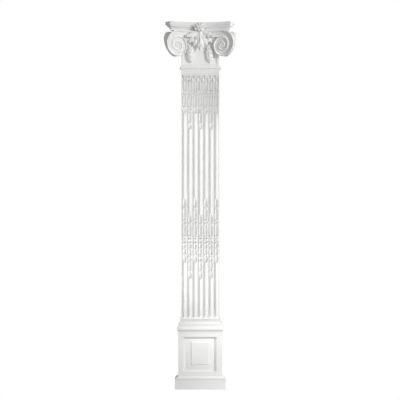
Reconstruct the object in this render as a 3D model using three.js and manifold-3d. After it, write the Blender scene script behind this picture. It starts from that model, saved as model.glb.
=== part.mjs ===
// A wall pilaster with an Ionic capital, cast as three stacked pieces: a pedestal with a raised
// panel, a fluted shaft with chains of husks and reeds in its flutes, and a capital with volutes
// turned to the corners, a hollow-sided abacus, a flower, leaves and two hanging drops.
//
// Millimetres, +Z up. The front looks along -Y and the flat back stands on the wall plane.
// The origin is the middle of the plinth's underside. In plan the pilaster is the front slice of a
// square pier, so every ledge stands out from the shaft as far in front as it does at the sides.

import * as THREE from 'three';
import { mergeVertices } from 'three/addons/utils/BufferGeometryUtils.js';
import Module from 'manifold-3d';

const wasm = await Module();
wasm.setup();

// Shaft
const fluteCount = 7;
const fluteWidth = 35.5;
const fluteFillet = 7.1;
const fluteDepth = 14;
const fluteTopMargin = 34;
const fluteFootMargin = 4;
const shaftHeight = 2005;
const shaftProjection = 60;
const footBandHeight = 16;
const footBandMargin = 8;

// Chains in the flutes
const chainSideGap = 4;
const chainProud = 3;
const topChainStart = 48;
const ringHeight = 633;
const reedLength = 64;
const longReedLength = 122;
const middleReedLength = 98;
const beadLength = 18;
const knobLength = 10;
const cordLength = 12;
const budLength = 46;
const finialLength = 77;
const tailLength = 62;

// Pedestal, with each margin measured from the die unless it says otherwise
const pedestalHeight = 545;
const dieMarginOverShaft = 23;
const plinthHeight = 81;
const plinthMargin = 26;
const plinthMouldingHeight = 25;
const plinthMouldingFoot = 22;
const capHeight = 78;
const capFilletHeight = 18;
const capFilletMargin = 10;
const capFriezeHeight = 34;
const capStepHeight = 14;
const capStepMargin = -15;

// Pedestal panel
const panelSideMargin = 45;
const panelFootMargin = 34;
const panelHeadMargin = 52;
const panelSink = 8;
const panelSlopeWidth = 50;
const panelSlopeDepth = 7;
const fieldSideMargin = 57;
const fieldHeadMargin = 38;
const fieldFootMargin = 50;
const fieldRise = 6;

// Capital
const capitalHeight = 365;
const jointGap = 0.3;
const astragalHeight = 20;
const astragalMargin = 12;
const astragalFlareHeight = 18;
const neckStrip = 16;
const neckPanelFoot = 4;
const neckPanelSink = 5;
const bellHeight = 77;
const bellMargin = 42;

// Abacus
const abacusHeight = 66;
const abacusMargin = 123;
const abacusCornerCut = 38;
const abacusSag = 50;
const abacusFillet = 24;
const abacusFootBand = 9;
const abacusCavetto = 30;
const abacusQuirk = 3;

// Volutes
const voluteEyeSide = 172;
const voluteTopRadius = 111;
const voluteOuterReach = 88;
const voluteEyeRadius = 19;
const voluteTurns = 2.1;
const voluteTightening = 1.1;
const voluteFaceTurn = 30;
const voluteLean = 16;
const voluteRim = 31;
const voluteFilletOuter = 10;
const voluteFilletInner = 6;
const voluteRelief = 9;
const bandHeight = 52;
const bandOverlap = 3;

// Carving on the capital
const flowerHalfWidth = 62;
const flowerTopMargin = 1;
const flowerPetals = 7;
const petalWidth = 30;
const petalThickness = 26;
const buttonRadius = 13;
const leafThickness = 18;
const centreLeafLength = 150;
const centreLeafWidth = 92;
const sideLeafLength = 118;
const sideLeafWidth = 52;
const armLeafLength = 96;
const armLeafWidth = 46;
const dropSide = 82;
const dropLength = 165;
const dropRadius = 22;

// Finish, the same white casting all through
const castingColour = 0xf2f2f0;
const castingRoughness = 0.6;

// Sizes that follow from those above
const shaftWidth = fluteCount * (fluteWidth + fluteFillet) + fluteFillet;
const shaftHalf = shaftWidth / 2;
const plinthDepth = shaftProjection + dieMarginOverShaft + plinthMargin;
const wall = plinthDepth / 2;
const pierCentre = wall - shaftProjection + shaftHalf;
const shaftFoot = pedestalHeight + jointGap;
const shaftHead = shaftFoot + shaftHeight;
const capitalFoot = shaftHead + jointGap;
const abacusFoot = capitalFoot + capitalHeight - abacusHeight;
const capitalTop = capitalFoot + capitalHeight;
const shaftFace = wall - shaftProjection;
const far = 2 * capitalTop;

// Turns a closed geometry into a solid, leaving out the empty triangles at a lathe's poles.
function solidOf(geometry) {
  const bare = new THREE.BufferGeometry();
  bare.setAttribute('position', geometry.attributes.position.clone());
  if (geometry.index) {
    bare.setIndex(geometry.index.clone());
  }
  const merged = mergeVertices(bare, 1e-3);
  const corners = merged.index.array;
  const triangles = [];
  for (let i = 0; i < corners.length; i += 3) {
    const [a, b, c] = corners.slice(i, i + 3);
    if (a !== b && b !== c && c !== a) {
      triangles.push(a, b, c);
    }
  }
  return new wasm.Manifold(new wasm.Mesh({
    numProp: 3,
    vertProperties: new Float32Array(merged.attributes.position.array),
    triVerts: new Uint32Array(triangles),
  }));
}

function joined(geometries) {
  return geometries.map(solidOf).reduce((whole, part) => whole.add(part));
}

function meshOf(name, solid) {
  const { vertProperties, triVerts } = solid.getMesh();
  const geometry = new THREE.BufferGeometry();
  geometry.setAttribute('position', new THREE.BufferAttribute(vertProperties, 3));
  geometry.setIndex(new THREE.BufferAttribute(triVerts, 1));
  geometry.computeVertexNormals();
  const material = new THREE.MeshStandardMaterial({
    color: castingColour,
    roughness: castingRoughness,
    metalness: 0,
  });
  const mesh = new THREE.Mesh(geometry, material);
  mesh.name = name;
  return mesh;
}

// Mirrors a geometry and turns its triangles over, so that they still face out.
function mirrored(geometry, matrix) {
  const copy = geometry.clone().applyMatrix4(matrix);
  const source = copy.index ? copy.toNonIndexed() : copy;
  const position = source.attributes.position;
  const points = [];
  for (let i = 0; i < position.count; i += 3) {
    for (const corner of [i, i + 2, i + 1]) {
      points.push(position.getX(corner), position.getY(corner), position.getZ(corner));
    }
  }
  const turned = new THREE.BufferGeometry();
  turned.setAttribute('position', new THREE.Float32BufferAttribute(points, 3));
  return turned;
}

// A closed body through stacked rings of points: a lathe's net, each ring moved to its own outline.
function loft(rings) {
  const sides = rings[0].length;
  const middle = (ring) => ring
    .reduce((sum, point) => sum.add(point), new THREE.Vector3())
    .divideScalar(ring.length);
  const closed = (ring) => Array(sides).fill(middle(ring));
  const levels = [closed(rings[0]), ...rings, closed(rings.at(-1))];
  const net = new THREE.LatheGeometry(levels.map((_, level) => new THREE.Vector2(1, level)), sides);
  for (let side = 0; side <= sides; side++) {
    levels.forEach((ring, level) => {
      const { x, y, z } = ring[side % sides];
      net.attributes.position.setXYZ(side * levels.length + level, x, y, z);
    });
  }
  return net;
}

// The pilaster's plan at one height, standing out from the shaft by the margin.
function planRing(margin, height) {
  const side = shaftHalf + margin;
  const front = shaftFace - margin;
  return [
    new THREE.Vector3(side, wall, height),
    new THREE.Vector3(side, front, height),
    new THREE.Vector3(-side, front, height),
    new THREE.Vector3(-side, wall, height),
  ].reverse();
}

// A moulding returned round the front and both sides, from [margin, height] pairs going up.
function moulded(profile) {
  return loft(profile.map(([margin, height]) => planRing(margin, height)));
}

function boxBetween(low, high) {
  const size = high.map((value, axis) => value - low[axis]);
  const middle = high.map((value, axis) => (value + low[axis]) / 2);
  return new THREE.BoxGeometry(...size).translate(...middle);
}

// An S-shaped run of [margin, height] pairs between two points of a profile.
function cyma([marginA, heightA], [marginB, heightB], steps = 6) {
  return Array.from({ length: steps + 1 }, (_, i) => {
    const t = i / steps;
    const swing = t - Math.sin(2 * Math.PI * t) / (2 * Math.PI);
    return [marginA + (marginB - marginA) * swing, heightA + (heightB - heightA) * t];
  });
}

// Pedestal: plinth, die with a raised panel, and cap
function pedestal() {
  const die = dieMarginOverShaft;
  const capFoot = pedestalHeight - capHeight;
  const filletTop = capFoot + capFilletHeight;
  const friezeTop = filletTop + capFriezeHeight;
  const stepFoot = pedestalHeight - capStepHeight;
  const body = moulded([
    [die + plinthMargin, 0],
    [die + plinthMargin, plinthHeight],
    ...cyma([die + plinthMouldingFoot, plinthHeight], [die, plinthHeight + plinthMouldingHeight]),
    [die, capFoot],
    [die + capFilletMargin, capFoot],
    [die + capFilletMargin, filletTop],
    ...cyma([die + capFilletMargin / 2, filletTop], [die, (filletTop + friezeTop) / 2], 4),
    ...cyma([die, friezeTop], [die + capStepMargin, stepFoot], 4),
    [die + capStepMargin, pedestalHeight],
  ]);

  const face = shaftFace - die;
  const halfWidth = shaftHalf + die - panelSideMargin;
  const foot = plinthHeight + plinthMouldingHeight + panelFootMargin;
  const head = capFoot - panelHeadMargin;
  const frame = (inset, depth, headInset = inset, footInset = inset) => [
    new THREE.Vector3(-halfWidth + inset, face + depth, foot + footInset),
    new THREE.Vector3(-halfWidth + inset, face + depth, head - headInset),
    new THREE.Vector3(halfWidth - inset, face + depth, head - headInset),
    new THREE.Vector3(halfWidth - inset, face + depth, foot + footInset),
  ];
  const sunk = loft([
    frame(0, -panelSink),
    frame(0, panelSink + panelSlopeDepth),
    frame(panelSlopeWidth, panelSink),
  ]);
  const field = loft([
    frame(fieldSideMargin, panelSink - fieldRise, fieldHeadMargin, fieldFootMargin),
    frame(fieldSideMargin, panelSink + 2 * panelSlopeDepth, fieldHeadMargin, fieldFootMargin),
  ]);
  return solidOf(body).subtract(solidOf(sunk)).add(solidOf(field));
}

// Parts of a chain: how long each is, and pairs of (share of its length, share of its half width)
const chainParts = {
  cord: [cordLength, [[0.5, 0.3]]],
  knob: [knobLength, [[0.5, 0.85]]],
  bead: [beadLength, [[0.05, 0.4], [0.5, 1.1], [0.95, 0.4]]],
  reed: [reedLength, [[0.03, 0.8], [0.97, 0.8]]],
  middleReed: [middleReedLength, [[0.02, 0.8], [0.98, 0.8]]],
  longReed: [longReedLength, [[0.02, 0.8], [0.98, 0.8]]],
  bud: [budLength, [[0.05, 0.4], [0.4, 1.05], [0.95, 0.5]]],
  finial: [finialLength, [[0.3, 0.6], [0.62, 1], [0.95, 0.4]]],
  tail: [tailLength, [[0.03, 0.5], [0.3, 1]]],
};
const lengthOf = (names) => names.reduce((sum, name) => sum + chainParts[name][0], 0);

// One chain hanging down a flute from its top, cast with the shaft.
function chain(x, top, names) {
  const halfWidth = fluteWidth / 2 - chainSideGap;
  const points = [new THREE.Vector2(0, 0)];
  let drop = 0;
  for (const name of names) {
    const [length, outline] = chainParts[name];
    for (const [along, width] of outline) {
      points.push(new THREE.Vector2(width * halfWidth, -drop - along * length));
    }
    drop += length;
  }
  points.push(new THREE.Vector2(0, -drop));
  const sides = 6;
  return new THREE.LatheGeometry(points.reverse(), sides)
    .rotateX(Math.PI / 2)
    .translate(x, shaftFace - chainProud + halfWidth, top);
}

// Shaft: seven flutes, each with a chain at the head and another halfway down
function shaft() {
  const body = moulded([
    [footBandMargin, shaftFoot],
    [footBandMargin, shaftFoot + footBandHeight],
    [0, shaftFoot + footBandHeight],
    [0, shaftHead],
  ]);
  const fluteFoot = shaftFoot + footBandHeight + fluteFootMargin;
  const fluteHead = shaftHead - fluteTopMargin;
  const straight = fluteHead - fluteFoot - fluteWidth;
  const flute = new THREE.CapsuleGeometry(fluteWidth / 2, straight, 2, 12)
    .rotateX(Math.PI / 2)
    .scale(1, (2 * fluteDepth) / fluteWidth, 1)
    .translate(0, shaftFace, (fluteHead + fluteFoot) / 2);

  const unit = ['bead', 'cord', 'knob', 'reed', 'knob', 'cord'];
  const shortTop = [...unit, ...unit.slice(0, -1), 'tail'];
  const longTop = [...unit, ...unit, ...unit.slice(0, -1), 'tail'];
  const crown = ['finial', 'longReed'];
  const tallCrown = ['finial', 'middleReed', 'cord', 'knob', 'longReed'];
  const swag = ['bead', 'bud', 'reed', 'tail'];
  const longSwag = ['bead', 'bud', 'reed', 'cord', 'bud', 'reed', 'tail'];

  let solid = solidOf(body);
  for (let i = 0; i < fluteCount; i++) {
    const x = (i - (fluteCount - 1) / 2) * (fluteWidth + fluteFillet);
    const outer = i % 2 === 0;
    const above = outer ? tallCrown : crown;
    const below = outer ? swag : longSwag;
    const ring = shaftFoot + ringHeight;
    solid = solid
      .subtract(solidOf(flute.clone().translate(x, 0, 0)))
      .add(solidOf(chain(x, shaftHead - topChainStart, outer ? shortTop : longTop)))
      .add(solidOf(chain(x, ring + lengthOf(above), [...above, ...below])));
  }
  return solid;
}

// Abacus plan, set in by the inset: four hollow sides between cut corners, about the pier's centre
function abacusRing(inset, height) {
  const half = shaftHalf + abacusMargin;
  const chord = half - abacusCornerCut;
  const radius = (chord * chord + abacusSag * abacusSag) / (2 * abacusSag);
  const reach = half - abacusSag + radius;
  const corner = half + chord - Math.SQRT2 * inset;
  const arc = radius + inset;
  const halfAngle = Math.PI / 4 + Math.asin((corner - reach) / (Math.SQRT2 * arc));
  const steps = 8;
  const ring = [];
  for (let side = 0; side < 4; side++) {
    for (let i = 0; i <= steps; i++) {
      const angle = halfAngle * (1 - (2 * i) / steps);
      const point = new THREE.Vector3(arc * Math.sin(angle), arc * Math.cos(angle) - reach, height);
      point.applyAxisAngle(new THREE.Vector3(0, 0, 1), -side * Math.PI / 2);
      ring.push(point.add(new THREE.Vector3(0, pierCentre, 0)));
    }
  }
  return ring.reverse();
}

function abacus() {
  const cavettoFoot = abacusFoot + abacusFootBand;
  const cavettoHead = capitalTop - abacusFillet;
  const steps = 4;
  const hollow = Array.from({ length: steps + 1 }, (_, i) => {
    const angle = (i / steps) * Math.PI / 2;
    const inset = abacusQuirk + (abacusCavetto - abacusQuirk) * Math.cos(angle);
    return [inset, cavettoHead - (cavettoHead - cavettoFoot) * (1 - Math.sin(angle))];
  });
  const profile = [
    [abacusCavetto + abacusQuirk, abacusFoot],
    [abacusCavetto + abacusQuirk, cavettoFoot],
    ...hollow,
    [0, cavettoHead],
    [0, capitalTop],
  ];
  return loft(profile.map(([inset, height]) => abacusRing(inset, height)));
}

// Distance of the volute's outer edge from its eye, after a number of turns from its top
function voluteRadius(turns) {
  const left = Math.max(0, 1 - turns / voluteTurns);
  return voluteEyeRadius + (voluteTopRadius - voluteEyeRadius) * left ** voluteTightening;
}

// A point on the spiral, on the right-hand face: it leaves the top outwards and winds in clockwise.
function spiralPoint(turns, inset = 0) {
  const radius = voluteRadius(turns) - inset;
  const angle = 2 * Math.PI * turns;
  return new THREE.Vector2(radius * Math.sin(angle), radius * Math.cos(angle));
}

// Places of the right-hand volute: its eye, the turn of its face towards the middle,
// and the lean of its foot back towards the neck
const faceTurn = THREE.MathUtils.degToRad(voluteFaceTurn);
const faceLean = THREE.MathUtils.degToRad(voluteLean);
const outerReach = voluteOuterReach / Math.cos(faceTurn);
const voluteWidening = outerReach / voluteRadius(0.25);
const eyeForward = voluteEyeSide + voluteOuterReach - outerReach * Math.sin(faceTurn)
  + voluteRim / Math.SQRT2;
const eyeHeight = abacusFoot - voluteTopRadius;
const bandStart = -(voluteEyeSide + bandOverlap) / (voluteWidening * Math.cos(faceTurn));

// Moves a geometry drawn on the volute's face (right, up, forward) to its place on the capital.
function ontoFace(geometry) {
  return geometry
    .scale(voluteWidening, 1, 1)
    .applyMatrix4(new THREE.Matrix4().makeBasis(
      new THREE.Vector3(1, 0, 0),
      new THREE.Vector3(0, 0, 1),
      new THREE.Vector3(0, -1, 0),
    ))
    .rotateX(faceLean)
    .scale(1, 1, 1 / Math.cos(faceLean))
    .rotateZ(-faceTurn)
    .translate(voluteEyeSide, pierCentre - eyeForward, eyeHeight);
}

// Mirror planes: the wall pilaster's middle, and the pier's diagonal through the right-hand corner
const acrossMiddle = new THREE.Matrix4().makeScale(-1, 1, 1);
const acrossDiagonal = new THREE.Matrix4().set(
  0, -1, 0, pierCentre,
  -1, 0, 0, pierCentre,
  0, 0, 1, 0,
  0, 0, 0, 1,
);

// The block of one corner: its front face is the volute with the band that runs to the middle,
// its other face the same seen from the side, and between them lies the rim.
function voluteBlock() {
  const outline = new THREE.Shape();
  const bandFoot = voluteTopRadius - bandHeight;
  const steps = 16;
  const lastTurn = 0.88;
  outline.moveTo(bandStart, voluteTopRadius);
  for (let i = 0; i <= steps; i++) {
    const point = spiralPoint((i / steps) * lastTurn);
    outline.lineTo(point.x, point.y);
  }
  outline.lineTo(spiralPoint(lastTurn).x - voluteFilletOuter, bandFoot);
  outline.lineTo(bandStart, bandFoot);
  outline.closePath();
  const block = new THREE.ExtrudeGeometry(outline, { depth: 1, bevelEnabled: false });
  const position = block.attributes.position;
  const point = new THREE.Vector3();
  const isBack = [];
  for (let i = 0; i < position.count; i++) {
    isBack.push(position.getZ(i) < 0.5);
    position.setZ(i, -voluteRelief);
  }
  ontoFace(block);
  for (let i = 0; i < position.count; i++) {
    if (isBack[i]) {
      point.fromBufferAttribute(position, i).applyMatrix4(acrossDiagonal);
      position.setXYZ(i, point.x, point.y, point.z);
    }
  }
  return block;
}

// The raised fillet that winds in to the eye, with the edge that it starts from on the band.
function voluteFillet() {
  const steps = 20;
  const lastTurn = 2;
  const width = (turns) => THREE.MathUtils.lerp(voluteFilletOuter, voluteFilletInner, turns / lastTurn);
  const outline = new THREE.Shape();
  outline.moveTo(bandStart, voluteTopRadius - voluteFilletOuter);
  outline.lineTo(bandStart, voluteTopRadius);
  for (let i = 0; i <= steps; i++) {
    const point = spiralPoint((i / steps) * lastTurn);
    outline.lineTo(point.x, point.y);
  }
  for (let i = steps; i >= 0; i--) {
    const turns = (i / steps) * lastTurn;
    const point = spiralPoint(turns, width(turns));
    outline.lineTo(point.x, point.y);
  }
  outline.closePath();
  return ontoFace(new THREE.ExtrudeGeometry(outline, { depth: 2 * voluteRelief, bevelEnabled: false })
    .translate(0, 0, -2 * voluteRelief));
}

function voluteEye() {
  return ontoFace(new THREE.SphereGeometry(voluteEyeRadius, 8, 4)
    .scale(1, 1, voluteRelief / voluteEyeRadius)
    .translate(0, 0, -voluteRelief / 2));
}

// A leaf drawn in its own plane, hanging from its root to a point, with scalloped edges.
function leaf(length, width, lobes) {
  const steps = 8;
  const outline = new THREE.Shape();
  const edge = (share) => {
    const belly = Math.sin(Math.PI * share ** 0.7) ** 0.75;
    const scallop = 1 - 0.22 * Math.abs(Math.cos(Math.PI * lobes * share));
    return (width / 2) * belly * scallop;
  };
  outline.moveTo(0, 0);
  for (let i = 1; i < steps; i++) {
    outline.lineTo(edge(i / steps), -length * (i / steps));
  }
  outline.lineTo(0, -length);
  for (let i = steps - 1; i > 0; i--) {
    outline.lineTo(-edge(i / steps), -length * (i / steps));
  }
  outline.closePath();
  const bevel = leafThickness / 3;
  return new THREE.ExtrudeGeometry(outline, {
    depth: leafThickness,
    bevelThickness: bevel,
    bevelSize: bevel,
    bevelOffset: -bevel,
    bevelSegments: 1,
  }).rotateX(Math.PI / 2);
}

function petal(angle) {
  const halfHeight = abacusHeight / 2 - flowerTopMargin;
  const length = 1 / Math.hypot(Math.cos(angle) / flowerHalfWidth, Math.sin(angle) / halfHeight);
  return new THREE.SphereGeometry(0.5, 6, 4)
    .scale(length, petalThickness, petalWidth)
    .translate(length / 2, 0, 0)
    .rotateY(-angle);
}

function flower() {
  const front = pierCentre - (shaftHalf + abacusMargin - abacusSag);
  const middle = (abacusFoot + capitalTop) / 2;
  const petals = Array.from({ length: flowerPetals }, (_, i) => (
    petal(Math.PI / 2 + (i * 2 * Math.PI) / flowerPetals)
  ));
  const button = new THREE.SphereGeometry(buttonRadius, 8, 4).translate(0, -petalThickness / 2, 0);
  return [...petals, button].map((piece) => piece.translate(0, front - petalThickness / 4, middle));
}

// A drop of husks hanging on the neck beside the middle leaf.
function drop() {
  const points = [
    [0, 0], [0.5, 0.02], [0.9, 0.12], [0.45, 0.24], [0.75, 0.3], [1, 0.42], [0.55, 0.55],
    [0.85, 0.62], [1, 0.74], [0.7, 0.88], [0, 1],
  ].map(([width, along]) => new THREE.Vector2(width * dropRadius, -along * dropLength));
  const top = abacusFoot - bandHeight - dropRadius;
  return new THREE.LatheGeometry(points.reverse(), 6)
    .rotateX(Math.PI / 2)
    .translate(dropSide, shaftFace - dropRadius / 3, top);
}

function leaves() {
  const front = shaftFace - bellMargin;
  const top = abacusFoot;
  const centre = leaf(centreLeafLength, centreLeafWidth, 3)
    .rotateX(THREE.MathUtils.degToRad(12))
    .translate(0, front - leafThickness / 2, top);
  const side = leaf(sideLeafLength, sideLeafWidth, 3)
    .rotateX(THREE.MathUtils.degToRad(16))
    .rotateY(THREE.MathUtils.degToRad(-28))
    .translate(buttonRadius, front, top);
  const arm = leaf(armLeafLength, armLeafWidth, 3)
    .rotateY(THREE.MathUtils.degToRad(-68))
    .rotateZ(-faceTurn)
    .translate(buttonRadius, front - leafThickness / 2, top - buttonRadius);
  return { centre, pairs: [side, arm] };
}

// Capital: neck and bell, abacus, two corner volutes and the carving in the middle
function capital() {
  const neckFoot = capitalFoot + astragalHeight + astragalFlareHeight;
  const bandFoot = abacusFoot - bandHeight;
  const core = moulded([
    [astragalMargin, capitalFoot],
    [astragalMargin, capitalFoot + astragalHeight],
    ...cyma([astragalMargin / 2, capitalFoot + astragalHeight], [0, neckFoot], 3),
    ...cyma([0, bandFoot - bellHeight], [bellMargin, bandFoot], 4),
    [bellMargin, abacusFoot],
    [0, abacusFoot],
    [0, abacusFoot + abacusFootBand],
  ]);
  const panel = boxBetween(
    [-shaftHalf + neckStrip, shaftFace - neckPanelSink, neckFoot + neckPanelFoot],
    [shaftHalf - neckStrip, shaftFace + neckPanelSink, bandFoot - bellHeight],
  );
  const { centre, pairs } = leaves();
  const cornerPieces = [voluteBlock(), voluteFillet(), voluteEye()];
  const right = [
    ...cornerPieces,
    ...cornerPieces.slice(1).map((piece) => mirrored(piece, acrossDiagonal)),
    ...pairs,
    drop(),
  ];
  const left = right.map((piece) => mirrored(piece, acrossMiddle));
  const behindWall = boxBetween([-far, wall, 0], [far, far, far]);
  return solidOf(core)
    .subtract(solidOf(panel))
    .add(joined([abacus(), ...right, ...left, centre, ...flower()]))
    .subtract(solidOf(behindWall));
}

const pilaster = new THREE.Group();
pilaster.add(
  meshOf('pedestal', pedestal()),
  meshOf('shaft', shaft()),
  meshOf('capital', capital()),
);

export default pilaster;
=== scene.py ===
# A white moulded wall pilaster: panelled pedestal, fluted shaft with husk chains, and an Ionic
# capital with volutes turned to the corners. Each casting is modelled here in full relief and
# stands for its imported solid, with the same plan, profiles and heights.
import math

import bmesh
import bpy
from mathutils import Matrix, Vector


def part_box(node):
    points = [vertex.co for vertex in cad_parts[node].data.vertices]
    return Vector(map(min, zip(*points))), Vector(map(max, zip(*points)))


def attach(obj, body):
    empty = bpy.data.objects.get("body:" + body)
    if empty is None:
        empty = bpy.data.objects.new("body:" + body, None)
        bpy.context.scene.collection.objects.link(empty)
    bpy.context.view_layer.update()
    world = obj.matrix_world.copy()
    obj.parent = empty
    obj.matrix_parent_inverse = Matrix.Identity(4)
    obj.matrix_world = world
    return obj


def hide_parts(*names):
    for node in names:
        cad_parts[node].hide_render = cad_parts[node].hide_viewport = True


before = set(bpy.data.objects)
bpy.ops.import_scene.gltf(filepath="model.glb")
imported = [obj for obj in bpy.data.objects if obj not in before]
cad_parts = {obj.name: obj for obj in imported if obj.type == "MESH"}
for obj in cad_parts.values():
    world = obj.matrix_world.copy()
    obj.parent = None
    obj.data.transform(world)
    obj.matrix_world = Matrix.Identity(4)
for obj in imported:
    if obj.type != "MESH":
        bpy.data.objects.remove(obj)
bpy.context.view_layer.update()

# Shapes are drawn in millimetres, as the castings are, and scaled to metres at the end.
MM = 0.001

# Points nearer to each other than this are one point.
WELD = 0.01


def box_mm(node):
    """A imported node's lowest and highest corners, in millimetres."""
    low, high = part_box(node)
    return low / MM, high / MM


PEDESTAL_LOW, PEDESTAL_HIGH = box_mm("pedestal")
SHAFT_LOW, SHAFT_HIGH = box_mm("shaft")
CAPITAL_LOW, CAPITAL_HIGH = box_mm("capital")

# Plan of the pilaster, the front slice of a square pier
FOOT_BAND_MARGIN = 8
WALL = SHAFT_HIGH.y
SHAFT_HALF = SHAFT_HIGH.x - FOOT_BAND_MARGIN
SHAFT_FACE = SHAFT_LOW.y + FOOT_BAND_MARGIN
PIER_CENTRE = SHAFT_FACE + SHAFT_HALF

# Where parts run into each other, one stays this far inside, so that no two faces coincide.
OVERLAP = 0.6

# Edges of a casting are never sharp: the paint and the mould round them.
EDGE_ROUND = 1.2
ROUND_SEGMENTS = 2

# The small chamfer or step at a moulding's edge
ARRIS = 1

# A surface that turns by more than this, in degrees, is shaded as an edge.
SHADED_EDGE_ANGLE = 38

CYMA_STEPS = 12


def srgb(code):
    """A hex colour as linear red, green, blue and alpha."""
    channels = [int(code[i:i + 2], 16) / 255 for i in (1, 3, 5)]
    linear = [c / 12.92 if c <= 0.04045 else ((c + 0.055) / 1.055) ** 2.4 for c in channels]
    return (*linear, 1.0)


def add_node(tree, kind, settings=None, links=None):
    """Adds a shader node. Settings name properties or inputs, and links name inputs and their sources."""
    node = tree.nodes.new(kind)
    for name, value in (settings or {}).items():
        if name in node.inputs:
            node.inputs[name].default_value = value
        else:
            setattr(node, name, value)
    for name, source in (links or {}).items():
        tree.links.new(source, node.inputs[name])
    return node


# Shapes

def closed(bm):
    """Welds doubles, fills open ends and turns the faces outwards."""
    bmesh.ops.remove_doubles(bm, verts=bm.verts, dist=WELD)
    bmesh.ops.holes_fill(bm, edges=[edge for edge in bm.edges if edge.is_boundary], sides=0)
    bmesh.ops.recalc_face_normals(bm, faces=bm.faces)
    return bm


def tube(rings):
    """A closed body through rings of points: a grid moved to the rings, welded, its ends filled."""
    columns, rows = len(rings[0]), len(rings)
    bm = bmesh.new()
    grid = bmesh.ops.create_grid(bm, x_segments=columns, y_segments=rows - 1, size=0.5)
    for vert in grid["verts"]:
        column = round((vert.co.x + 0.5) * columns) % columns
        row = round((vert.co.y + 0.5) * (rows - 1))
        vert.co = rings[row][column]
    return closed(bm)


def gathered(parts):
    """All parts in one bmesh, as one casting."""
    whole = bmesh.new()
    for part in parts:
        mesh = bpy.data.meshes.new("part")
        part.to_mesh(mesh)
        whole.from_mesh(mesh)
        bpy.data.meshes.remove(mesh)
    return whole


def moved(bm, matrix):
    """A moved copy, with its faces turned back out where the matrix mirrors it."""
    copy = bm.copy()
    bmesh.ops.transform(copy, matrix=matrix, verts=copy.verts)
    if matrix.determinant() < 0:
        bmesh.ops.reverse_faces(copy, faces=copy.faces)
    return copy


def cut_at_wall(bm, clear=0):
    """Cuts a body off flat at the wall plane, or just clear of it, and closes the cut."""
    everything = bm.verts[:] + bm.edges[:] + bm.faces[:]
    bmesh.ops.bisect_plane(
        bm, geom=everything, dist=WELD, plane_co=(0, WALL - clear, 0), plane_no=(0, 1, 0),
        clear_outer=True,
    )
    return closed(bm)


def temporary(bm, name):
    """An object that holds a body while a modifier works on it."""
    mesh = bpy.data.meshes.new(name)
    bm.to_mesh(mesh)
    thing = bpy.data.objects.new(name, mesh)
    bpy.context.scene.collection.objects.link(thing)
    return thing


def combined(body, tool, operation):
    """One closed body cut by another, or joined to it."""
    body_object = temporary(body, "body")
    tool_object = temporary(tool, "tool")
    boolean = body_object.modifiers.new("cut", "BOOLEAN")
    boolean.operation = operation
    boolean.solver = "EXACT"
    boolean.object = tool_object
    evaluated = body_object.evaluated_get(bpy.context.evaluated_depsgraph_get())
    result = bmesh.new()
    result.from_mesh(evaluated.to_mesh())
    for thing in (body_object, tool_object):
        mesh = thing.data
        bpy.data.objects.remove(thing)
        bpy.data.meshes.remove(mesh)
    return closed(result)


def rounded(bm, least_angle=30):
    """Rounds every edge that turns by more than the least angle, in degrees."""
    sharp = [
        edge for edge in bm.edges
        if edge.is_manifold and edge.calc_face_angle(0) > math.radians(least_angle)
    ]
    bmesh.ops.bevel(
        bm, geom=sharp, offset=EDGE_ROUND, offset_type="OFFSET", segments=ROUND_SEGMENTS,
        affect="EDGES", profile=0.5, material=-1, clamp_overlap=True,
    )
    return closed(bm)


def finished(bm, name, material, node):
    """Makes the piece's object, which rides on the pilaster's one body and stands for a node."""
    bmesh.ops.scale(bm, vec=(MM, MM, MM), verts=bm.verts)
    for face in bm.faces:
        face.smooth = True
    mesh = bpy.data.meshes.new(name)
    bm.to_mesh(mesh)
    bm.free()
    mesh.set_sharp_from_angle(angle=math.radians(SHADED_EDGE_ANGLE))
    mesh.materials.append(material)
    piece = bpy.data.objects.new(name, mesh)
    bpy.context.scene.collection.objects.link(piece)
    # Large flat faces keep their own shading right up to their rounded edges.
    flats = piece.modifiers.new("flats", "WEIGHTED_NORMAL")
    flats.weight = 100
    flats.keep_sharp = True
    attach(piece, "root")
    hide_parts(node)


def plan_ring(margin, height):
    """The pilaster's plan at one height, standing out from the shaft by the margin."""
    side = SHAFT_HALF + margin
    front = SHAFT_FACE - margin
    return [Vector(p) for p in (
        (side, WALL, height), (side, front, height), (-side, front, height), (-side, WALL, height),
    )]


def cyma(start, end):
    """An S-shaped run of pairs, such as margin and height: the first swings as the second runs on."""
    pairs = []
    for i in range(CYMA_STEPS + 1):
        share = i / CYMA_STEPS
        swing = share - math.sin(2 * math.pi * share) / (2 * math.pi)
        pairs.append((start[0] + (end[0] - start[0]) * swing, start[1] + (end[1] - start[1]) * share))
    return pairs


def moulded(profile):
    """A moulding returned round the front and sides."""
    return tube([plan_ring(margin, height) for margin, height in profile])


# Finish

# Real orange peel is about 2 mm across, too fine to show from here, so it is drawn 9 mm across
# and shallow. Sizes are in metres.
PEEL_WIDTH = 0.009
PEEL_DEPTH = 0.001
CLOUD_WIDTH = 0.15
ROUGHNESS_LOW, ROUGHNESS_HIGH = 0.5, 0.6
PAINT_IOR = 1.46


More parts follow.
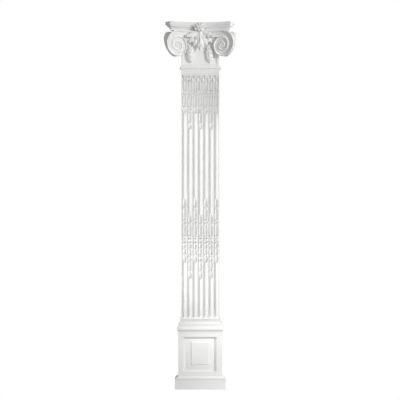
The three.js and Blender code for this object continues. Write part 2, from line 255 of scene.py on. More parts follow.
def primed_casting():
    """Rigid moulded foam under a sprayed white primer: a matte, even white, with the primer's
    slight orange peel and the faintest cloudiness in the white and the gloss."""
    material = bpy.data.materials.new("primed_white_polyurethane")
    material.use_nodes = True
    tree = material.node_tree
    tree.nodes.clear()
    place = add_node(tree, "ShaderNodeTexCoord")
    cloud = add_node(tree, "ShaderNodeTexNoise", {"Scale": 1 / CLOUD_WIDTH, "Detail": 3.0},
                     {"Vector": place.outputs["Object"]})
    peel = add_node(tree, "ShaderNodeTexNoise", {"Scale": 1 / PEEL_WIDTH, "Detail": 2.0},
                    {"Vector": place.outputs["Object"]})
    white = add_node(tree, "ShaderNodeValToRGB", {}, {"Fac": cloud.outputs["Fac"]})
    white.color_ramp.elements[0].position = 0.3
    white.color_ramp.elements[0].color = srgb("#efefee")
    white.color_ramp.elements[1].position = 0.7
    white.color_ramp.elements[1].color = srgb("#f4f4f3")
    gloss = add_node(tree, "ShaderNodeMapRange", {"To Min": ROUGHNESS_LOW, "To Max": ROUGHNESS_HIGH},
                     {"Value": cloud.outputs["Fac"]})
    bump = add_node(tree, "ShaderNodeBump", {"Strength": 0.1, "Distance": PEEL_DEPTH},
                    {"Height": peel.outputs["Fac"]})
    shader = add_node(tree, "ShaderNodeBsdfPrincipled", {"IOR": PAINT_IOR},
                      {"Base Color": white.outputs["Color"], "Roughness": gloss.outputs["Result"],
                       "Normal": bump.outputs["Normal"]})
    add_node(tree, "ShaderNodeOutputMaterial", {}, {"Surface": shader.outputs["BSDF"]})
    return material


# Pedestal

DIE_MARGIN = 23
PLINTH_HEIGHT = 81
PLINTH_MARGIN = 26
PLINTH_MOULDING = 25
PLINTH_MOULDING_FOOT = 22
QUIRK = 5
QUIRK_HEIGHT = 3
CAP_HEIGHT = 78
CAP_FILLET = 18
CAP_FILLET_MARGIN = 10
CAP_FILLET_EDGE = 13
CAP_FILLET_CHAMFER = 2
CAP_COVE_DROP = 12
CAP_COVE_FOOT = 2
CAP_COVE_WAIST = 3.5
CAP_COVE_WAIST_HEIGHT = 8
CAP_COVE_UNDERCUT = 3
CAP_FRIEZE = 34
CAP_STEP = 14
CAP_STEP_MARGIN = -15
PANEL_SIDE, PANEL_FOOT, PANEL_HEAD = 45, 34, 52
PANEL_SINK = 8
PANEL_SLOPE_WIDTH = 50
PANEL_SLOPE_DEPTH = 7
FIELD_SIDE, FIELD_HEAD, FIELD_FOOT = 57, 38, 50
FIELD_RISE = 6
FIELD_EDGE = 6
FIELD_SHOULDER = 1


def pedestal(material):
    """Plinth, die with a raised panel in a sunk one, and moulded cap."""
    top = PEDESTAL_HIGH.z
    cap_foot = top - CAP_HEIGHT
    fillet_top = cap_foot + CAP_FILLET
    frieze_top = fillet_top + CAP_FRIEZE
    cove_foot = cap_foot - CAP_COVE_DROP
    plinth = DIE_MARGIN + PLINTH_MARGIN
    moulding = DIE_MARGIN + PLINTH_MOULDING_FOOT
    fillet = DIE_MARGIN + CAP_FILLET_MARGIN
    body = moulded([
        (plinth, 0),
        (plinth, PLINTH_HEIGHT - ARRIS),
        (plinth - ARRIS, PLINTH_HEIGHT),
        (moulding - QUIRK, PLINTH_HEIGHT),
        (moulding - QUIRK, PLINTH_HEIGHT + QUIRK_HEIGHT),
        *cyma((moulding, PLINTH_HEIGHT + QUIRK_HEIGHT), (DIE_MARGIN, PLINTH_HEIGHT + PLINTH_MOULDING)),
        (DIE_MARGIN, cove_foot),
        (DIE_MARGIN + CAP_COVE_FOOT, cove_foot),
        (DIE_MARGIN + CAP_COVE_WAIST, cove_foot + CAP_COVE_WAIST_HEIGHT),
        (fillet - CAP_COVE_UNDERCUT, fillet_top - CAP_FILLET_EDGE),
        (fillet, fillet_top - CAP_FILLET_EDGE),
        (fillet, fillet_top - CAP_FILLET_CHAMFER),
        *cyma((DIE_MARGIN + CAP_FILLET_MARGIN / 2, fillet_top),
              (DIE_MARGIN, (fillet_top + frieze_top) / 2)),
        *cyma((DIE_MARGIN, frieze_top), (DIE_MARGIN + CAP_STEP_MARGIN, top - CAP_STEP)),
        (DIE_MARGIN + CAP_STEP_MARGIN, top),
    ])
    face = SHAFT_FACE - DIE_MARGIN
    half = SHAFT_HALF + DIE_MARGIN - PANEL_SIDE
    low = PLINTH_HEIGHT + PLINTH_MOULDING + PANEL_FOOT
    high = cap_foot - PANEL_HEAD

    def frame_ring(inset, depth, head=None, foot=None):
        """The panel's frame, set in on all sides by the inset unless its head or foot differs."""
        side = half - inset
        lower, upper = low + (foot or inset), high - (head or inset)
        return [Vector(p) for p in (
            (-side, face + depth, lower), (-side, face + depth, upper),
            (side, face + depth, upper), (side, face + depth, lower),
        )]

    # The panel's border: a sheer edge, then an ogee that rises towards the field
    slope = cyma((PANEL_SINK + PANEL_SLOPE_DEPTH, 0), (PANEL_SINK, PANEL_SLOPE_WIDTH))
    sunk = tube([frame_ring(0, -PANEL_SINK)] + [frame_ring(inset, depth) for depth, inset in slope])
    field = tube([
        frame_ring(FIELD_SIDE, PANEL_SINK + 2 * PANEL_SLOPE_DEPTH, FIELD_HEAD, FIELD_FOOT),
        frame_ring(FIELD_SIDE, PANEL_SINK + FIELD_SHOULDER, FIELD_HEAD, FIELD_FOOT),
        frame_ring(FIELD_SIDE + FIELD_EDGE, PANEL_SINK - FIELD_RISE,
                   FIELD_HEAD + FIELD_EDGE, FIELD_FOOT + FIELD_EDGE),
    ])
    body = combined(body, sunk, "DIFFERENCE")
    body = combined(body, field, "UNION")
    finished(rounded(body), "pedestal_casting", material, "pedestal")


# Shaft

FLUTES = 7
FLUTE_WIDTH = 35.5
FLUTE_FILLET = 7.1
FLUTE_DEPTH = 14
FLUTE_TOP_MARGIN = 34
FLUTE_FOOT_MARGIN = 1
FOOT_BAND_HEIGHT = 16
FOOT_BAND_CHAMFER = 3
FOOT_QUIRK_HEIGHT = 4

# Each chain is narrower than its flute by a gap at each side, and stands proud of the face.
CHAIN_GAP = 4
CHAIN_PROUD = 3
CHAIN_MOST_PROUD = 4
CHAIN_ROOT_WIDTH = 0.7
CHAIN_STEPS = 20
RIDGES = 6
TOP_CHAIN_START = 35
# Where the crowns of the lower chains stand on their swags
CROWN_FOOT = 639

# Outlines of a chain's parts: (share of the length, share of the half width, ridge depth)
CORD = [(0, 0.28, 0), (1, 0.28, 0)]
KNOB = [(0.1, 0.5, 0), (0.3, 0.8, 0), (0.5, 0.9, 0), (0.7, 0.8, 0), (0.9, 0.5, 0)]
BEAD = [(0.03, 0.4, 0), (0.15, 0.85, 0), (0.35, 1.05, 0), (0.5, 1.1, 0),
        (0.65, 1.05, 0), (0.85, 0.85, 0), (0.97, 0.4, 0)]
BOSS = [(0, 0.35, 0), (0.1, 0.75, 0), (0.3, 1.08, 0), (0.6, 1.24, 0), (0.93, 1.24, 0), (1, 0.9, 0)]
REED = [(0, 0.4, 0), (0.03, 0.72, 0.05), (0.1, 0.88, 0.13), (0.5, 0.92, 0.15),
        (0.9, 0.88, 0.13), (0.97, 0.7, 0.05), (1, 0.4, 0)]
BUD = [(0.02, 0.35, 0), (0.12, 0.8, 0.1), (0.3, 1.02, 0.2), (0.5, 1.0, 0.22),
       (0.75, 0.75, 0.15), (0.97, 0.45, 0.05)]
FINIAL = [(0, 0.1, 0), (0.05, 0.42, 0.05), (0.18, 0.78, 0.15), (0.4, 1.0, 0.25),
          (0.6, 1.08, 0.25), (0.8, 0.9, 0.15), (0.97, 0.4, 0.05)]
TAIL = [(0, 0.4, 0), (0.1, 0.8, -0.05), (0.3, 1.0, -0.2), (0.6, 0.8, -0.3),
        (0.85, 0.45, -0.3), (1, 0.06, 0)]

# Parts of a chain: length and outline
CHAIN_PARTS = {
    "gap": (6, CORD),
    "cord": (12, CORD),
    "boss": (19, BOSS),
    "collar": (10, KNOB),
    "knob": (10, KNOB),
    "large_knob": (17, KNOB),
    "bead": (18, BEAD),
    "reed": (64, REED),
    "swag_reed": (46, REED),
    "long_reed": (90, REED),
    "small_bud": (27, BUD),
    "bud": (42, BUD),
    "finial": (79, FINIAL),
    "short_tail": (46, TAIL),
    "tail": (64, TAIL),
}


def chain_length(names):
    """The length of a chain, from the names of its parts."""
    return sum(CHAIN_PARTS[name][0] for name in names)


def chain_ring(x, radius, ridge, height):
    """One ring of a chain: a ridged half round in front, and flat inside the shaft behind."""
    axis = SHAFT_FACE - CHAIN_PROUD + FLUTE_WIDTH / 2 - CHAIN_GAP
    ring = []
    for i in range(CHAIN_STEPS + 1):
        angle = math.pi * (i / CHAIN_STEPS - 0.5)
        swell = radius * (1 + ridge * (math.cos(RIDGES * angle) - 1) / 2)
        front = max(axis - swell * math.cos(angle), SHAFT_FACE - CHAIN_MOST_PROUD)
        ring.append(Vector((x + swell * math.sin(angle), front, height)))
    buried = axis + FLUTE_DEPTH
    ring.append(Vector((x + radius * CHAIN_ROOT_WIDTH, buried, height)))
    ring.append(Vector((x - radius * CHAIN_ROOT_WIDTH, buried, height)))
    return ring


def chain(x, top, names):
    """A chain hanging down a flute, from the names of its parts."""
    half_width = FLUTE_WIDTH / 2 - CHAIN_GAP
    rings = []
    drop = 0
    for name in names:
        length, outline = CHAIN_PARTS[name]
        for along, width, ridge in outline:
            rings.append(chain_ring(x, width * half_width, ridge, top - drop - along * length))
        drop += length
    return tube(rings)


def flute_cutter(x, foot, head):
    """A round-ended gouge as long as the flute."""
    radius = FLUTE_WIDTH / 2
    bm = bmesh.new()
    bmesh.ops.create_uvsphere(bm, u_segments=40, v_segments=20, radius=radius)
    for vert in bm.verts:
        end = head - radius if vert.co.z > WELD else foot + radius
        vert.co = Vector((vert.co.x + x, SHAFT_FACE + vert.co.y * FLUTE_DEPTH / radius, vert.co.z + end))
    return bm


def shaft(material):
    """Foot band, and seven flutes with a chain hanging in each from the top and one lower down."""
    foot, head = SHAFT_LOW.z, SHAFT_HIGH.z
    band_top = foot + FOOT_BAND_HEIGHT
    body = moulded([
        (FOOT_BAND_MARGIN - QUIRK, foot),
        (FOOT_BAND_MARGIN - QUIRK, foot + FOOT_QUIRK_HEIGHT),
        (FOOT_BAND_MARGIN, foot + FOOT_QUIRK_HEIGHT + ARRIS),
        (FOOT_BAND_MARGIN, band_top - FOOT_BAND_CHAMFER),
        (FOOT_BAND_MARGIN - FOOT_BAND_CHAMFER, band_top),
        (0, band_top),
        (0, head),
    ])
    unit = ["bead", "cord", "knob", "reed", "knob", "cord"]
    short_top = ["boss", *unit, *unit, "short_tail"]
    long_top = ["boss", *unit, *unit, *unit, "short_tail"]
    crown = ["finial", "gap", "long_reed", "gap", "large_knob", "cord"]
    tall_crown = ["finial", "gap", "long_reed", "gap", "small_bud", *crown[1:]]
    swag = ["bead", "gap", "bud", "swag_reed", "gap", "tail"]
    long_swag = [*swag[:-1], "collar", "gap", "bud", "reed", "gap", "tail"]
    cutters = []
    chains = []
    for i in range(FLUTES):
        x = (i - (FLUTES - 1) / 2) * (FLUTE_WIDTH + FLUTE_FILLET)
        outer = i % 2 == 0
        above = tall_crown if outer else crown
        below = swag if outer else long_swag
        cutters.append(flute_cutter(x, band_top + FLUTE_FOOT_MARGIN, head - FLUTE_TOP_MARGIN))
        chains.append(chain(x, head - TOP_CHAIN_START, short_top if outer else long_top))
        chains.append(chain(x, foot + CROWN_FOOT + chain_length(above), [*above, *below]))
    body = combined(body, gathered(cutters), "DIFFERENCE")
    finished(gathered([body, *chains]), "shaft_casting", material, "shaft")


# Capital

ASTRAGAL_HEIGHT = 20
ASTRAGAL_MARGIN = 12
ASTRAGAL_FLARE = 18
ASTRAGAL_RECESS = 9
ASTRAGAL_RECESS_HEIGHT = 8
ASTRAGAL_LIP_TOP = 13
ASTRAGAL_STEP = 3
NECK_STRIP = 19
NECK_PANEL_FOOT = 4
NECK_PANEL_SINK = 8
BELL_HEIGHT = 77
BELL_MARGIN = 42
ABACUS_HEIGHT = 66
ABACUS_MARGIN = 123
ABACUS_CORNER_CUT = 38
ABACUS_SAG = 50
ABACUS_FILLET = 24
ABACUS_FOOT_BAND = 11
ABACUS_BEAD = 10
ABACUS_BEAD_INSET = 9
ABACUS_BEAD_QUIRK = 3
ABACUS_INSET = 33
ABACUS_BAND_QUIRK = 4
ABACUS_COVE_DEPTH = 2.5
ABACUS_STEPS = 24

# Volutes: the eye's place beside the middle, and the spiral that winds in to it
EYE_SIDE = 172
TOP_RADIUS = 111
EYE_RADIUS = 19
TURNS = 2.1
TIGHTENING = 1.1
OUTER_REACH = 88
FACE_HOLLOW = 92
FACE_LEAN = math.tan(math.radians(13))
RIM_WIDTH = 31
RIM_HOLLOW = 7
BAND_HEIGHT = 52
BAND_OVERLAP = 3

# The relief on a volute's face rises from its ground and is rooted deeper, inside the block.
RELIEF = 9
RELIEF_ROOT = -14

# A ring this small is welded into a pole.
POLE = 0.01

ABACUS_FOOT = CAPITAL_HIGH.z - ABACUS_HEIGHT
EYE_HEIGHT = ABACUS_FOOT - TOP_RADIUS


def volute_radius(turns):
    """Distance of the volute's outer edge from its eye after some turns from its top."""
    left = max(0.0, 1 - turns / TURNS)
    return EYE_RADIUS + (TOP_RADIUS - EYE_RADIUS) * left ** TIGHTENING


# The volute's face is hollow, like the abacus above it, and leans back towards its foot.
CORNER_SIDE = EYE_SIDE + OUTER_REACH
NARROWING = OUTER_REACH / volute_radius(0.25)
BAND_FORWARD = CORNER_SIDE + RIM_WIDTH / math.sqrt(2) - FACE_HOLLOW
BAND_START = -(EYE_SIDE + BAND_OVERLAP) / NARROWING


def on_face(point):
    """From the right-hand volute as it is drawn, right, up and forward from its eye, to its place."""
    side = EYE_SIDE + point.x * NARROWING
    slope = 2 * FACE_HOLLOW * side / CORNER_SIDE ** 2
    out = point.z / math.hypot(1, slope)
    forward = BAND_FORWARD + FACE_HOLLOW * (side / CORNER_SIDE) ** 2 + point.y * FACE_LEAN + out
    return Vector((side - out * slope, PIER_CENTRE - forward, EYE_HEIGHT + point.y))


def faced(bm):
    """Moves a part drawn on the volute's face to its place on the capital."""
    for vert in bm.verts:
        vert.co = on_face(vert.co)
    bmesh.ops.recalc_face_normals(bm, faces=bm.faces)
    return bm


# The capital mirrors from right to left, and each of its corners from front face to side face.
ACROSS_MIDDLE = Matrix.Scale(-1, 4, (1, 0, 0))
ACROSS_DIAGONAL = Matrix((
    (0, -1, 0, PIER_CENTRE), (-1, 0, 0, PIER_CENTRE), (0, 0, 1, 0), (0, 0, 0, 1),
))


def spiral_point(turns, radius):
    """A point on the volute's face, some turns on from straight above its eye."""
    angle = 2 * math.pi * turns
    return Vector((radius * math.sin(angle), radius * math.cos(angle), 0))


def abacus_ring(inset, height):
    """The abacus's plan, set in by the inset: four hollow sides between cut corners."""
    half = SHAFT_HALF + ABACUS_MARGIN
    chord = half - ABACUS_CORNER_CUT
    radius = (chord ** 2 + ABACUS_SAG ** 2) / (2 * ABACUS_SAG)
    reach = half - ABACUS_SAG + radius
    corner = half + chord - math.sqrt(2) * inset
    arc = radius + inset
    half_angle = math.pi / 4 + math.asin((corner - reach) / (math.sqrt(2) * arc))
    ring = []
    for side in range(4):
        turn = Matrix.Rotation(-side * math.pi / 2, 3, "Z")
        for i in range(ABACUS_STEPS + 1):
            angle = half_angle * (1 - 2 * i / ABACUS_STEPS)
            point = Vector((arc * math.sin(angle), arc * math.cos(angle) - reach, 0))
            ring.append(turn @ point + Vector((0, PIER_CENTRE, height)))
    return ring


def abacus():
    """A broad fillet over a bead, a shallow cove and a foot band, parted by fine quirks."""
    foot, top = ABACUS_FOOT, CAPITAL_HIGH.z
    fillet_foot = top - ABACUS_FILLET
    band_top = foot + ABACUS_FOOT_BAND
    bead_foot = fillet_foot - ABACUS_BEAD
    cove_foot = ABACUS_INSET - ABACUS_BAND_QUIRK
    cove_top = ABACUS_BEAD_INSET + ABACUS_BEAD_QUIRK
    cove_low, cove_high = band_top + 2 * ARRIS, bead_foot - 2 * ARRIS
    profile = [(ABACUS_INSET, foot), (ABACUS_INSET, band_top), (cove_foot, band_top + ARRIS)]
    steps = 10
    for i in range(steps + 1):
        share = i / steps
        hollow = ABACUS_COVE_DEPTH * math.sin(math.pi * share)
        inset = cove_foot + (cove_top - cove_foot) * share + hollow
        profile.append((inset, cove_low + (cove_high - cove_low) * share))
    profile += [
        (cove_top, bead_foot - ARRIS), (ABACUS_BEAD_INSET, bead_foot),
        (ABACUS_BEAD_INSET, fillet_foot), (0, fillet_foot), (0, top),
    ]
    body = tube([abacus_ring(inset, height) for inset, height in profile])
    return rounded(cut_at_wall(body), least_angle=60)


def core():
    """Astragal, neck and bell."""
    foot = CAPITAL_LOW.z
    astragal_top = foot + ASTRAGAL_HEIGHT
    neck_foot = astragal_top + ASTRAGAL_FLARE
    band_foot = ABACUS_FOOT - BAND_HEIGHT
    body = moulded([
        (ASTRAGAL_MARGIN - ASTRAGAL_RECESS, foot),
        (ASTRAGAL_MARGIN - ASTRAGAL_RECESS, foot + ASTRAGAL_RECESS_HEIGHT),
        (ASTRAGAL_MARGIN, foot + ASTRAGAL_RECESS_HEIGHT + ARRIS),
        (ASTRAGAL_MARGIN, foot + ASTRAGAL_LIP_TOP),
        (ASTRAGAL_MARGIN - ASTRAGAL_STEP, foot + ASTRAGAL_LIP_TOP + ARRIS),
        (ASTRAGAL_MARGIN - ASTRAGAL_STEP, astragal_top),
        *cyma((ASTRAGAL_MARGIN / 2, astragal_top), (0, neck_foot)),
        (0, band_foot - BELL_HEIGHT),
        *cyma((0, band_foot - BELL_HEIGHT + ARRIS), (BELL_MARGIN, band_foot)),
        (BELL_MARGIN, ABACUS_FOOT),
    ])
    panel = tube([
        [Vector((x, y, height)) for x, y in (
            (SHAFT_HALF - NECK_STRIP, SHAFT_FACE + NECK_PANEL_SINK),
            (SHAFT_HALF - NECK_STRIP, SHAFT_FACE - NECK_PANEL_SINK),
            (NECK_STRIP - SHAFT_HALF, SHAFT_FACE - NECK_PANEL_SINK),
            (NECK_STRIP - SHAFT_HALF, SHAFT_FACE + NECK_PANEL_SINK),
        )]
        for height in (neck_foot + NECK_PANEL_FOOT, band_foot - BELL_HEIGHT)
    ])
    return rounded(combined(body, panel, "DIFFERENCE"))


def volute_block():
    """One corner: the front face, the side face, and the hollow rim between them."""
    last_turn = 0.9
    steps = 72
    edge = [spiral_point(turns, volute_radius(turns) - OVERLAP)
            for turns in (i / steps * last_turn for i in range(steps + 1))]
    front = [
        [on_face(point * share + Vector((0, 0, -RELIEF))) for point in edge]
        for share in (0.01, 0.2, 0.4, 0.6, 0.8, 0.94)
    ]
    side = [[ACROSS_DIAGONAL @ point for point in ring] for ring in reversed(front)]
    rim = []
    layers = 8
    for layer in range(layers + 1):
        across = layer / layers
        hollow = RIM_HOLLOW * math.sin(math.pi * across)
        ring = []
        for point in edge:
            front_edge = on_face(point * (1 - hollow / point.length) + Vector((0, 0, -RELIEF)))
            ring.append(front_edge.lerp(ACROSS_DIAGONAL @ front_edge, across))
        rim.append(ring)
    return tube([*front, *rim, *side])


def volute_band():
    """The band that runs from the middle of the front to the volute's top."""
    steps = 12
    rings = []
    for i in range(steps + 1):
        x = BAND_START * (1 - i / steps)
        front = [on_face(Vector((x, y, -RELIEF))) for y in (TOP_RADIUS - OVERLAP, TOP_RADIUS - BAND_HEIGHT)]
        behind = [Vector((point.x, SHAFT_FACE, point.z)) for point in reversed(front)]
        rings.append([*front, *behind])
    return tube(rings)


# The channel winds past its last full turn, and is nowhere narrower than this.
CHANNEL_TURNS = 2.05
CHANNEL_LEAST = 4

# The channel's section: share of the way from this turn's edge to the next one's, and height
CHANNEL = [
    (0, RELIEF_ROOT), (0, -1.5), (0.03, 0), (0.15, 0), (0.19, -1.5), (0.2, -5), (0.24, -8),
    (0.35, -10.5), (0.5, -11.2), (0.65, -10.5), (0.8, -8), (0.92, -5.5), (1, -5), (1, RELIEF_ROOT),
]


def volute_channel():
    """The fillet and hollow channel that run along the band and wind in to the eye."""
    rings = []
    straight_steps, spiral_steps = 10, 150
    for i in range(straight_steps):
        x = BAND_START * (1 - i / straight_steps)
        rings.append([Vector((x, TOP_RADIUS - share * BAND_HEIGHT, height)) for share, height in CHANNEL])
    for i in range(spiral_steps + 1):
        turns = i / spiral_steps * CHANNEL_TURNS
        outer = volute_radius(turns)
        inner = min(volute_radius(turns + 1), outer - CHANNEL_LEAST)
        rings.append([
            spiral_point(turns, outer + (inner - outer) * share) + Vector((0, 0, height))
            for share, height in CHANNEL
        ])
    return faced(tube(rings))


def turned(profile, segments=32):
    """A round form about the forward axis of a volute's face, from (radius, height) pairs."""
    rings = [
        [Vector((radius * math.cos(a), radius * math.sin(a), height))
         for a in (2 * math.pi * i / segments for i in range(segments))]
        for radius, height in profile
    ]
    return tube(rings)


def volute_eye():
    """A dished disc with a raised lip and a button in its middle."""
    return faced(turned([
        (POLE, RELIEF_ROOT), (EYE_RADIUS + 1, RELIEF_ROOT), (EYE_RADIUS + 1, -3), (EYE_RADIUS, -1),
        (EYE_RADIUS - 2, -0.5), (EYE_RADIUS - 5, -1.5), (EYE_RADIUS - 6, -5), (9, -6.5),
        (8, -4), (6.5, -1.5), (3.5, -0.3), (POLE, 0),
    ]))


PEARL_RADIUS = 4.2
PEARL_SPACING = 11
PEARL_SINK = 9
PEARL_ACROSS = 0.52
PEARLS_START, PEARLS_END = 0.02, 1.25
# Pearls shrink with the channel, down to this share of their full size.
PEARL_LEAST = 0.55


def pearls():
    """A row of pearls down the middle of the channel, on the volute's outer turn."""
    parts = []
    turns = PEARLS_START
    while turns < PEARLS_END:
        outer, inner = volute_radius(turns), volute_radius(turns + 1)
        radius = outer + (inner - outer) * PEARL_ACROSS
        size = PEARL_RADIUS * (PEARL_LEAST + (1 - PEARL_LEAST) * (outer - inner) / BAND_HEIGHT)
        bm = bmesh.new()
        bmesh.ops.create_icosphere(bm, subdivisions=2, radius=size)
        place = spiral_point(turns, radius) + Vector((0, 0, -PEARL_SINK))
        bmesh.ops.translate(bm, vec=place, verts=bm.verts)
        parts.append(faced(bm))
        turns += PEARL_SPACING * size / PEARL_RADIUS / (2 * math.pi * radius)
    return parts


LEAF_ROWS, LEAF_COLUMNS = 48, 29
LEAF_THICKNESS = 7
LEAF_BACK_WIDTH = 0.7
SCALLOP = 0.3
LOBE_SLANT = 0.14
RIB_WIDTH = 0.22


def leaf(length, width, lobes, rise, curl):
    """A leaf hanging from its root, face forward: a ribbed blade whose lobes slant to its edge,
    with a groove between lobes, a vein down each lobe, and a tip that curls forward."""
    rings = []
    for row in range(LEAF_ROWS + 1):
        along = row / LEAF_ROWS
        belly = math.sin(math.pi * along ** 0.7) ** 0.75 if 0 < row < LEAF_ROWS else 0.01
        tip = curl * along ** 3
        ring = []
        for column in range(LEAF_COLUMNS):
            side = 2 * column / (LEAF_COLUMNS - 1) - 1
            reach = abs(side)
            phase = math.pi * lobes * (along - LOBE_SLANT * reach)
            half = width / 2 * belly * (1 - SCALLOP * math.cos(phase) ** 2)
            rib = rise * belly * max(0, 1 - reach / RIB_WIDTH) ** 0.7
            fold = rise * belly * (0.55 - 0.45 * reach)
            puff = rise * 0.6 * belly * math.sin(phase) ** 2 * reach ** 0.6
            vein = rise * 0.12 * belly * math.cos(phase * 4) * reach
            droop = rise * 0.7 * reach ** 4
            forward = max(rib, fold) + puff + vein - droop + tip
            ring.append(Vector((side * half, -forward - LEAF_THICKNESS / 2, -length * along)))
        # The back is flat, and narrower than the blade is at its edge.
        back = LEAF_THICKNESS / 2 - tip * 0.8
        for side in (LEAF_BACK_WIDTH, -LEAF_BACK_WIDTH):
            ring.append(Vector((side * half, back, -length * along)))
        rings.append(ring)
    return tube(rings)


def turn_and_place(bm, place, tilt=0, lean=0, face=0):
    """Tilts a leaf's tip forward, leans it sideways, and turns its face, all in degrees."""
    matrix = (
        Matrix.Translation(place) @ Matrix.Rotation(math.radians(face), 4, "Z")
        @ Matrix.Rotation(math.radians(lean), 4, "Y") @ Matrix.Rotation(math.radians(tilt), 4, "X")
    )
    return moved(bm, matrix)


def leaves():
    """The middle leaf, and for each side two leaves beside it and one lying out along the band."""
    front = SHAFT_FACE - BELL_MARGIN
    top = ABACUS_FOOT
    middle = leaf(length=162, width=78, lobes=2.5, rise=16, curl=12)
    beside = leaf(length=120, width=66, lobes=2.5, rise=13, curl=14)
    tucked = leaf(length=114, width=58, lobes=2.5, rise=11, curl=10)
    arm = leaf(length=118, width=50, lobes=3.5, rise=9, curl=4)
    single = turn_and_place(middle, (0, front - 16, top), tilt=8)
    paired = [
        turn_and_place(beside, (12, front - 8, top - 6), tilt=10, lean=-20),
        turn_and_place(tucked, (20, front - 2, top - 8), tilt=5, lean=-41),
        turn_and_place(arm, (12, front - 5, top - 16), lean=-74, face=-19),
    ]
    return single, paired


HUSK_ROWS, HUSK_COLUMNS = 14, 44
HUSK_POINTS = 5
HUSK_RIDGE = 0.3
HUSK_POINT_LENGTH = 0.16
HUSK_FULLNESS = 0.62


def squared(value):
    """Fills out a circle's sine or cosine, for a section between round and square."""
    return math.copysign(abs(value) ** HUSK_FULLNESS, value)


def husk(length, width, depth):
    """A bellflower husk opening downwards: a flattish calyx whose lobes end in points."""
    rings = []
    for row in range(HUSK_ROWS + 1):
        along = row / HUSK_ROWS
        swell = math.sin(math.pi * (0.08 + 0.8 * along ** 0.8)) ** 0.7
        ring = []
        for i in range(HUSK_COLUMNS):
            angle = 2 * math.pi * i / HUSK_COLUMNS
            lobe = math.cos(HUSK_POINTS * angle)
            reach = swell * (1 + HUSK_RIDGE * along * (lobe - 1) / 2)
            fall = length * along + length * HUSK_POINT_LENGTH * along ** 3 * lobe
            ring.append(Vector((
                width / 2 * reach * squared(math.sin(angle)),
                -depth * reach * squared(math.cos(angle)), -fall,
            )))
        rings.append(ring)
    return tube(rings)


# Husks of a drop from the top down: length, width and depth
DROP_HUSKS = [(46, 50, 19), (48, 60, 22), (46, 62, 22), (42, 56, 20), (32, 44, 16)]
DROP_SIDE = 77
DROP_START = 8
HUSK_STEP = 0.78
HUSK_OUT = 0.55
DROP_BEAD_RADIUS = 6
DROP_BEAD_OUT = 4
DROP_BEAD_FALL = 10


def drop():
    """A hanging drop of husks, one out of the next, on the neck beside the middle leaf."""
    parts = []
    height = ABACUS_FOOT - BAND_HEIGHT - DROP_START
    for length, width, depth in DROP_HUSKS:
        out = SHAFT_FACE + NECK_PANEL_SINK - depth * HUSK_OUT
        parts.append(turn_and_place(husk(length, width, depth), (DROP_SIDE, out, height)))
        height -= length * HUSK_STEP
    bead = bmesh.new()
    bmesh.ops.create_uvsphere(bead, u_segments=20, v_segments=12, radius=DROP_BEAD_RADIUS)
    place = (DROP_SIDE, SHAFT_FACE - DROP_BEAD_OUT, height - DROP_BEAD_FALL)
    parts.append(moved(bead, Matrix.Translation(place)))
    return parts


PETAL_ROWS, PETAL_COLUMNS = 22, 19
PETAL_THICKNESS = 8
PETAL_BACK_WIDTH = 0.8
PETAL_CREASE_WIDTH = 0.25
PETAL_WIDTH = 36
FLOWER_HALF_WIDTH = 57
FLOWER_RISE, FLOWER_FALL = 30, 38

# Rings of petals: number, start in petals, share of the full reach, cup and how far forward
PETAL_RINGS = [(7, 0.5, 1, 9, 2), (5, 0, 0.62, 8, 10)]

# The flower's button: (radius, height) pairs
BUTTON = [(POLE, -8), (11, -6), (12.5, 0), (11, 5), (8, 8), (5, 9), (3, 7.5), (POLE, 7)]
BUTTON_SEGMENTS = 24
BUTTON_OUT = 18


def petal(reach, width, cup):
    """One petal lying outwards from the flower's middle, cupped, with a rolled tip and a crease."""
    rings = []
    for row in range(PETAL_ROWS + 1):
        along = row / PETAL_ROWS
        spread = math.sin(math.pi * (0.1 + 0.9 * along) ** 1.3) ** 0.6 if row < PETAL_ROWS else 0.02
        roll = cup * math.sin(math.pi * along * 0.9)
        ring = []
        for column in range(PETAL_COLUMNS):
            side = 2 * column / (PETAL_COLUMNS - 1) - 1
            crease = 0.35 * cup * max(0, 1 - abs(side) / PETAL_CREASE_WIDTH)
            lift = roll + 0.55 * cup * abs(side) ** 2 - crease
            ring.append(Vector((side * width / 2 * spread, -lift - PETAL_THICKNESS / 2, -reach * along)))
        for side in (PETAL_BACK_WIDTH, -PETAL_BACK_WIDTH):
            ring.append(Vector((side * width / 2 * spread, PETAL_THICKNESS / 2, -reach * along)))
        rings.append(ring)
    return tube(rings)


def flower():
    """The abacus flower: two rings of cupped petals, wider than high, round a dimpled button."""
    front = PIER_CENTRE - (SHAFT_HALF + ABACUS_MARGIN - ABACUS_SAG)
    middle = ABACUS_FOOT + ABACUS_HEIGHT / 2
    parts = []
    for number, start, share, cup, forward in PETAL_RINGS:
        for i in range(number):
            angle = 2 * math.pi * (i + start) / number
            height = FLOWER_RISE if math.cos(angle) > 0 else FLOWER_FALL
            reach = share / math.hypot(math.sin(angle) / FLOWER_HALF_WIDTH, math.cos(angle) / height)
            blade = petal(reach, PETAL_WIDTH * share, cup)
            parts.append(turn_and_place(
                blade, (0, front - forward, middle), tilt=6, lean=math.degrees(angle) + 180
            ))
    place = Matrix.Translation((0, front - BUTTON_OUT, middle))
    facing = Matrix.Rotation(math.pi / 2, 4, "X")
    parts.append(moved(turned(BUTTON, BUTTON_SEGMENTS), place @ facing))
    return parts


def capital(material):
    """Core and abacus, with the volutes, leaves, drops and flower cast on."""
    corner = [volute_band(), volute_channel(), volute_eye(), *pearls()]
    single_leaf, paired_leaves = leaves()
    right = [
        volute_block(), *corner, *(moved(part, ACROSS_DIAGONAL) for part in corner),
        *paired_leaves, *drop(),
    ]
    right = [cut_at_wall(part, OVERLAP) for part in right]
    left = [moved(part, ACROSS_MIDDLE) for part in right]
    whole = gathered([core(), abacus(), *right, *left, single_leaf, *flower()])
    finished(whole, "capital_casting", material, "capital")


# Stage, light and camera

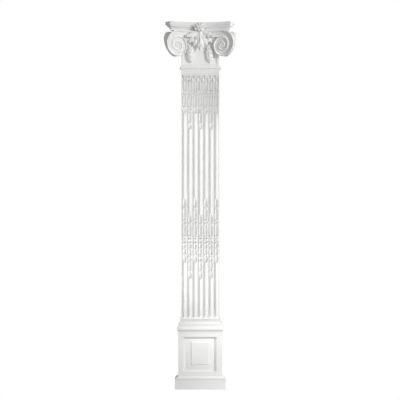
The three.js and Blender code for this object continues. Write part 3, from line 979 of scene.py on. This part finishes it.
WHITE = srgb("#ffffff")
FILL_STRENGTH = 0.34

# From here on, lengths are in metres.
FLOOR_REACH = 20
VIEW_DISTANCE = 7.5
VIEW_HEIGHT = 1.5075
VIEW_SIDE = -0.0016
SENSOR = 36.0
# The photograph's 400 pixels span 3.2 m at the shaft's face.
SPAN_AT_SHAFT = 3.2


def camera():
    """A level camera that faces the wall."""
    data = bpy.data.cameras.new("camera")
    data.sensor_width = SENSOR
    data.lens = SENSOR * VIEW_DISTANCE / SPAN_AT_SHAFT
    viewer = bpy.data.objects.new("camera", data)
    viewer.location = (VIEW_SIDE, SHAFT_FACE * MM - VIEW_DISTANCE, VIEW_HEIGHT)
    viewer.rotation_euler = (math.pi / 2, 0, 0)
    bpy.context.scene.collection.objects.link(viewer)
    bpy.context.scene.camera = viewer


# Lamps aim this deep, about halfway from the wall to the capital's front.
AIM_DEPTH = -0.05


def lamp(name, place, aim, power, cone, radius, blend=0.3):
    """A round soft spot aimed at a height on the pilaster's front. Its cone is in degrees."""
    data = bpy.data.lights.new(name, "SPOT")
    data.energy = power
    data.spot_size = math.radians(cone)
    data.spot_blend = blend
    data.shadow_soft_size = radius
    light = bpy.data.objects.new(name, data)
    light.location = place
    direction = Vector((0, AIM_DEPTH, aim)) - Vector(place)
    light.rotation_euler = direction.to_track_quat("-Z", "Y").to_euler()
    bpy.context.scene.collection.objects.link(light)


def seen_apart(tree, unseen, seen):
    """One shader for the light in the scene, and another for what the camera sees."""
    path = add_node(tree, "ShaderNodeLightPath")
    mix = tree.nodes.new("ShaderNodeMixShader")
    tree.links.new(path.outputs["Is Camera Ray"], mix.inputs[0])
    tree.links.new(unseen.outputs[0], mix.inputs[1])
    tree.links.new(seen.outputs[0], mix.inputs[2])
    return mix.outputs[0]


def surround():
    """A white surround, which gives a weak even fill."""
    world = bpy.data.worlds.new("studio")
    bpy.context.scene.world = world
    world.use_nodes = True
    tree = world.node_tree
    tree.nodes.clear()
    fill = add_node(tree, "ShaderNodeBackground", {"Color": WHITE, "Strength": FILL_STRENGTH})
    white = add_node(tree, "ShaderNodeBackground", {"Color": WHITE, "Strength": 1.0})
    add_node(tree, "ShaderNodeOutputWorld", {}, {"Surface": seen_apart(tree, fill, white)})


def lamps():
    """Soft lamps to the right of the capital and the pedestal and to the left of the shaft, as in
    the photograph, and a weak one in front."""
    lamp("capital_lamp", (2.45, -2.3, 3.05), aim=2.78, power=265, cone=14.5, radius=0.22)
    lamp("shaft_lamp", (-3.6, -3.1, 4.2), aim=1.36, power=660, cone=18.8, radius=0.2, blend=0.15)
    lamp("shaft_foot_lamp", (-2.6, -2.6, 2.6), aim=0.9, power=140, cone=7.6, radius=0.1, blend=0.2)
    lamp("front_lamp", (0.3, -5.5, 0.9), aim=1.5, power=340, cone=26, radius=0.5)
    lamp("pedestal_lamp", (3.45, -2.08, 2.5), aim=0.14, power=560, cone=9, radius=0.1)


def floor_paint():
    """Matt white paint. It takes and returns light as paint does, and the camera sees it as plain
    white, as the photograph's background is."""
    paint = bpy.data.materials.new("white_floor_paint")
    paint.use_nodes = True
    tree = paint.node_tree
    tree.nodes.clear()
    matt = add_node(tree, "ShaderNodeBsdfDiffuse", {"Color": srgb("#f0f0f0")})
    bright = add_node(tree, "ShaderNodeEmission", {"Color": WHITE, "Strength": 1.0})
    add_node(tree, "ShaderNodeOutputMaterial", {}, {"Surface": seen_apart(tree, matt, bright)})
    return paint


def floor():
    bm = bmesh.new()
    bmesh.ops.create_grid(bm, x_segments=1, y_segments=1, size=FLOOR_REACH)
    mesh = bpy.data.meshes.new("floor")
    bm.to_mesh(mesh)
    bm.free()
    ground = bpy.data.objects.new("floor", mesh)
    bpy.context.scene.collection.objects.link(ground)
    mesh.materials.append(floor_paint())


camera()
surround()
lamps()
floor()
# Colours come out as they are set, without a film look.
bpy.context.scene.view_settings.view_transform = "Standard"

casting = primed_casting()
pedestal(casting)
shaft(casting)
capital(casting)
